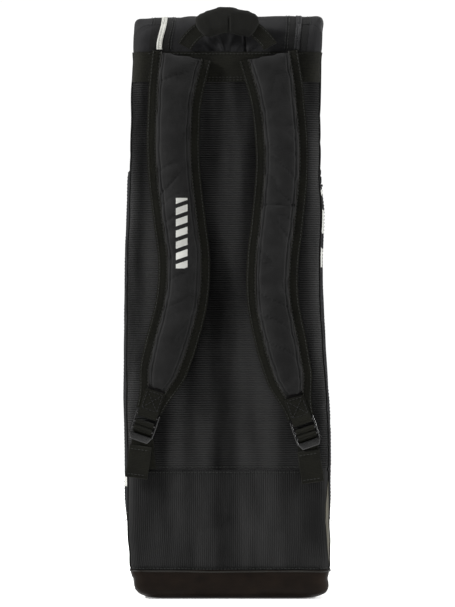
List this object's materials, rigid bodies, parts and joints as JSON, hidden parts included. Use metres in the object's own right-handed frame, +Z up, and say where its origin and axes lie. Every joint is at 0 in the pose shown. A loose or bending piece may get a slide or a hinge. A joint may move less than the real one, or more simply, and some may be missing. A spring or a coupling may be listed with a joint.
{
  "type": "racket tournament bag",
  "caption": "Tall upright racket bag with two side compartments that zip open, padded shoulder straps on the back, a coated base and carry handles.",
  "frame": {"origin": "centre of the footprint at the underside of the base, midway between the outermost points in X and in Y", "axes": "+Z up along the bag's length, +X to the wearer's right as seen from the strap side, the shoulder straps face -Y"},
  "size_m": [0.2662, 0.366, 0.769],
  "materials": {
    "ribbed_mesh": "knitted spacer mesh with fine ribs",
    "ribbed_fabric": "matt fabric with fine upright ribs",
    "coated_base": "smooth coated fabric with a low sheen",
    "stiff_board": "pressed plastic board",
    "foam": "closed-cell foam sheet",
    "lining": "plain woven lining",
    "panel_fabric": "matt woven polyester",
    "zip_tape": "woven zip tape",
    "white_coil": "moulded nylon coil",
    "black_coil": "moulded nylon coil",
    "webbing": "flat woven webbing",
    "piping": "coated cord piping",
    "thermal_foil": "reflective laminated liner",
    "printed_panel": "coated fabric with a plain printed pattern",
    "strap_fabric": "soft woven strap cover over foam",
    "buckle_plastic": "moulded acetal with a soft gloss",
    "zip_metal": "painted die-cast slider",
    "puller_rubber": "moulded rubber puller"
  },
  "bodies": {
    "core": {"back_panel": "ribbed_mesh", "lower_back_panel": "ribbed_fabric", "base_cap": "coated_base", "base_board": "stiff_board", "back_pad": "foam", "divider_panel": "lining", "top_panel": "panel_fabric", "front_strip": "panel_fabric", "left_corner_gusset": "panel_fabric", "right_corner_gusset": "panel_fabric", "left_inner_tape": "zip_tape", "right_inner_tape": "zip_tape", "left_inner_coil": "white_coil", "right_inner_coil": "black_coil", "seam_band": "webbing", "base_piping": "piping", "left_anchor_webbing": "webbing", "right_anchor_webbing": "webbing", "front_handle_web": "webbing", "front_handle_grip": "strap_fabric"},
    "left_cover": {"left_side_panel": "panel_fabric", "left_cover_lip": "panel_fabric", "left_outer_tape": "zip_tape", "left_outer_coil": "white_coil", "left_thermal_liner": "thermal_foil", "left_overlay": "printed_panel"},
    "right_cover": {"right_side_panel": "panel_fabric", "right_cover_lip": "panel_fabric", "right_outer_tape": "zip_tape", "right_outer_coil": "black_coil", "right_pocket_panel": "printed_panel", "right_pocket_zip": "zip_tape"},
    "left_upper_slider": {"left_upper_slider": "zip_metal"},
    "left_upper_puller": {"left_upper_puller": "puller_rubber"},
    "left_lower_slider": {"left_lower_slider": "zip_metal"},
    "left_lower_puller": {"left_lower_puller": "puller_rubber"},
    "right_upper_slider": {"right_upper_slider": "zip_metal"},
    "right_upper_puller": {"right_upper_puller": "puller_rubber"},
    "right_lower_slider": {"right_lower_slider": "zip_metal"},
    "right_lower_puller": {"right_lower_puller": "puller_rubber"},
    "pocket_slider": {"pocket_slider": "zip_metal"},
    "pocket_puller": {"pocket_puller": "puller_rubber"},
    "left_strap": {"left_strap_backing": "webbing", "left_strap_pad": "strap_fabric", "left_strap_patch": "webbing"},
    "left_buckle": {"left_buckle": "buckle_plastic", "left_tail_webbing": "webbing"},
    "left_tail": {"left_tail_hem": "webbing"},
    "right_strap": {"right_strap_backing": "webbing", "right_strap_pad": "strap_fabric", "right_strap_patch": "webbing"},
    "right_buckle": {"right_buckle": "buckle_plastic", "right_tail_webbing": "webbing"},
    "right_tail": {"right_tail_hem": "webbing"},
    "top_handle": {"top_handle_web": "webbing", "top_handle_grip": "strap_fabric"}
  },
  "joints": [
    {"name": "left_cover_open", "type": "hinge", "parent": "core", "child": "left_cover", "pos_m": [-0.13, -0.149, 0.04], "axis": [0.0164, 0, 0.9999], "range_deg": [0, 30]},
    {"name": "right_cover_open", "type": "hinge", "parent": "core", "child": "right_cover", "pos_m": [0.13, -0.149, 0.04], "axis": [0.0164, 0, -0.9999], "range_deg": [0, 30]},
    {"name": "left_upper_zip_slide", "type": "slide", "parent": "core", "child": "left_upper_slider", "axis": [0, 0, 1], "range_m": [0, 0.11]},
    {"name": "left_upper_puller_swing", "type": "hinge", "parent": "left_upper_slider", "child": "left_upper_puller", "pos_m": [-0.085, 0.1714, 0.566], "axis": [1, 0, 0], "range_deg": [0, 150]},
    {"name": "left_lower_zip_slide", "type": "slide", "parent": "core", "child": "left_lower_slider", "axis": [0, 0, -1], "range_m": [0, 0.42]},
    {"name": "left_lower_puller_swing", "type": "hinge", "parent": "left_lower_slider", "child": "left_lower_puller", "pos_m": [-0.085, 0.1714, 0.533], "axis": [1, 0, 0], "range_deg": [0, 150]},
    {"name": "right_upper_zip_slide", "type": "slide", "parent": "core", "child": "right_upper_slider", "axis": [0, 0, 1], "range_m": [0, 0.11]},
    {"name": "right_upper_puller_swing", "type": "hinge", "parent": "right_upper_slider", "child": "right_upper_puller", "pos_m": [0.085, 0.1714, 0.566], "axis": [1, 0, 0], "range_deg": [0, 150]},
    {"name": "right_lower_zip_slide", "type": "slide", "parent": "core", "child": "right_lower_slider", "axis": [0, 0, -1], "range_m": [0, 0.42]},
    {"name": "right_lower_puller_swing", "type": "hinge", "parent": "right_lower_slider", "child": "right_lower_puller", "pos_m": [0.085, 0.1714, 0.533], "axis": [1, 0, 0], "range_deg": [0, 150]},
    {"name": "pocket_zip_slide", "type": "slide", "parent": "right_cover", "child": "pocket_slider", "axis": [0, -1, 0], "range_m": [0, 0.2]},
    {"name": "pocket_puller_swing", "type": "hinge", "parent": "pocket_slider", "child": "pocket_puller", "pos_m": [0.13057, 0.098, 0.548], "axis": [0, -1, 0], "range_deg": [0, 150]},
    {"name": "left_strap_lift", "type": "hinge", "parent": "core", "child": "left_strap", "pos_m": [-0.056, -0.166, 0.711], "axis": [-1, 0, 0], "range_deg": [0, 9], "deforming": ["left_anchor_webbing"]},
    {"name": "left_buckle_tilt", "type": "hinge", "parent": "left_strap", "child": "left_buckle", "pos_m": [-0.1035, -0.171, 0.2395], "axis": [-0.9455, 0, 0.3256], "range_deg": [0, 45]},
    {"name": "left_tail_pull", "type": "slide", "parent": "left_buckle", "child": "left_tail", "axis": [-0.1392, 0, -0.9903], "range_m": [0, 0.05], "deforming": ["left_tail_webbing"]},
    {"name": "right_strap_lift", "type": "hinge", "parent": "core", "child": "right_strap", "pos_m": [0.056, -0.166, 0.711], "axis": [-1, 0, 0], "range_deg": [0, 9], "deforming": ["right_anchor_webbing"]},
    {"name": "right_buckle_tilt", "type": "hinge", "parent": "right_strap", "child": "right_buckle", "pos_m": [0.097, -0.171, 0.2315], "axis": [-0.9455, 0, -0.3256], "range_deg": [0, 45]},
    {"name": "right_tail_pull", "type": "slide", "parent": "right_buckle", "child": "right_tail", "axis": [0.1392, 0, -0.9903], "range_m": [0, 0.05], "deforming": ["right_tail_webbing"]},
    {"name": "top_handle_swing", "type": "hinge", "parent": "core", "child": "top_handle", "pos_m": [0, -0.169, 0.716], "axis": [1, 0, 0], "range_deg": [0, 50]}
  ]
}
